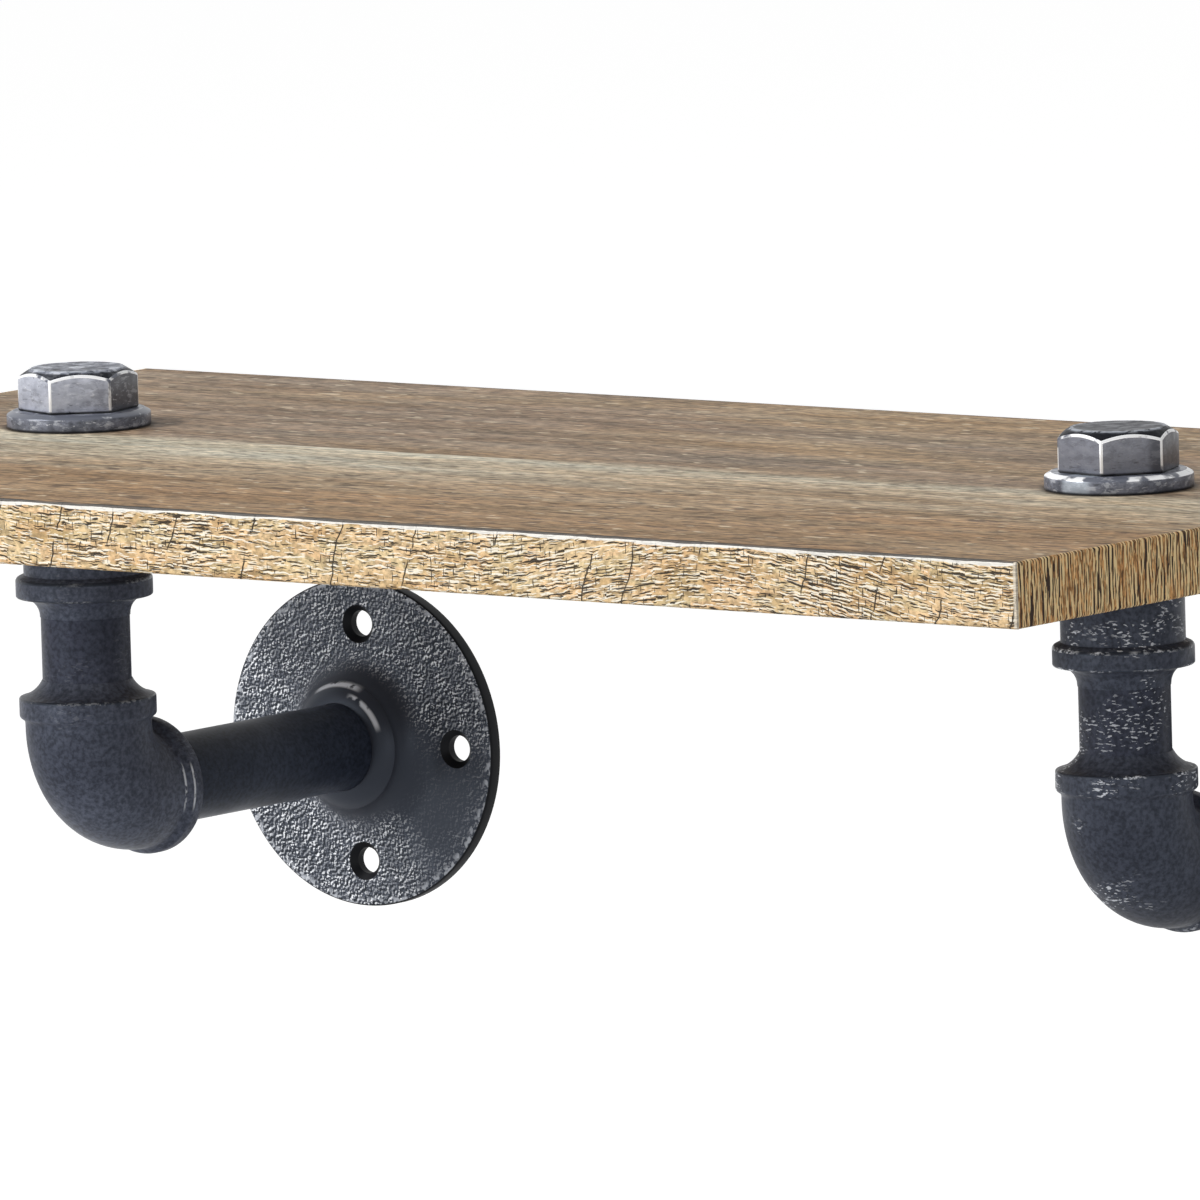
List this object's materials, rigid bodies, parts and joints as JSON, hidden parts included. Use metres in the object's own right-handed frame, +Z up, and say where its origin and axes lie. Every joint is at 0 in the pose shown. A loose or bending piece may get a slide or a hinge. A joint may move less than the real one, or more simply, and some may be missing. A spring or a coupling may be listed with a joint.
{
  "type": "pipe wall shelf",
  "caption": "Wall shelf with a laminated wood board carried on a pair of black pipe brackets, each a wall flange, arm, elbow, riser, coupling and hex plug.",
  "frame": {"origin": "on the wall plane, midway between the two wall flanges, at the height of the arm pipes' axes", "axes": "+Z up, +X along the board to the right as seen from the room, +Y into the wall; the shelf stands out towards -Y"},
  "size_m": [0.432, 0.234, 0.1428],
  "materials": {
    "decor_top": "printed oak decor, matt",
    "decor_edge": "printed end-grain decor, matt",
    "board_core": "raw wood particle board",
    "cast_fitting": "black lacquered casting, satin",
    "sand_cast_flange": "black lacquered sand casting, grainy",
    "black_pipe": "black lacquered pipe, smooth satin",
    "grey_steel": "dark grey steel with bright worn edges"
  },
  "bodies": {
    "root": {"board_core": "board_core", "top_laminate": "decor_top", "bottom_laminate": "decor_top", "front_edge_band": "decor_edge", "back_edge_band": "decor_edge", "left_edge_band": "decor_edge", "right_edge_band": "decor_edge", "left_wall_flange": "sand_cast_flange", "left_arm_pipe": "black_pipe", "left_elbow": "cast_fitting", "left_riser_nipple": "black_pipe", "left_coupling": "cast_fitting", "left_washer": "grey_steel", "left_hex_plug": "grey_steel", "right_wall_flange": "sand_cast_flange", "right_arm_pipe": "black_pipe", "right_elbow": "cast_fitting", "right_riser_nipple": "black_pipe", "right_coupling": "cast_fitting", "right_washer": "grey_steel", "right_hex_plug": "grey_steel"}
  },
  "joints": []
}
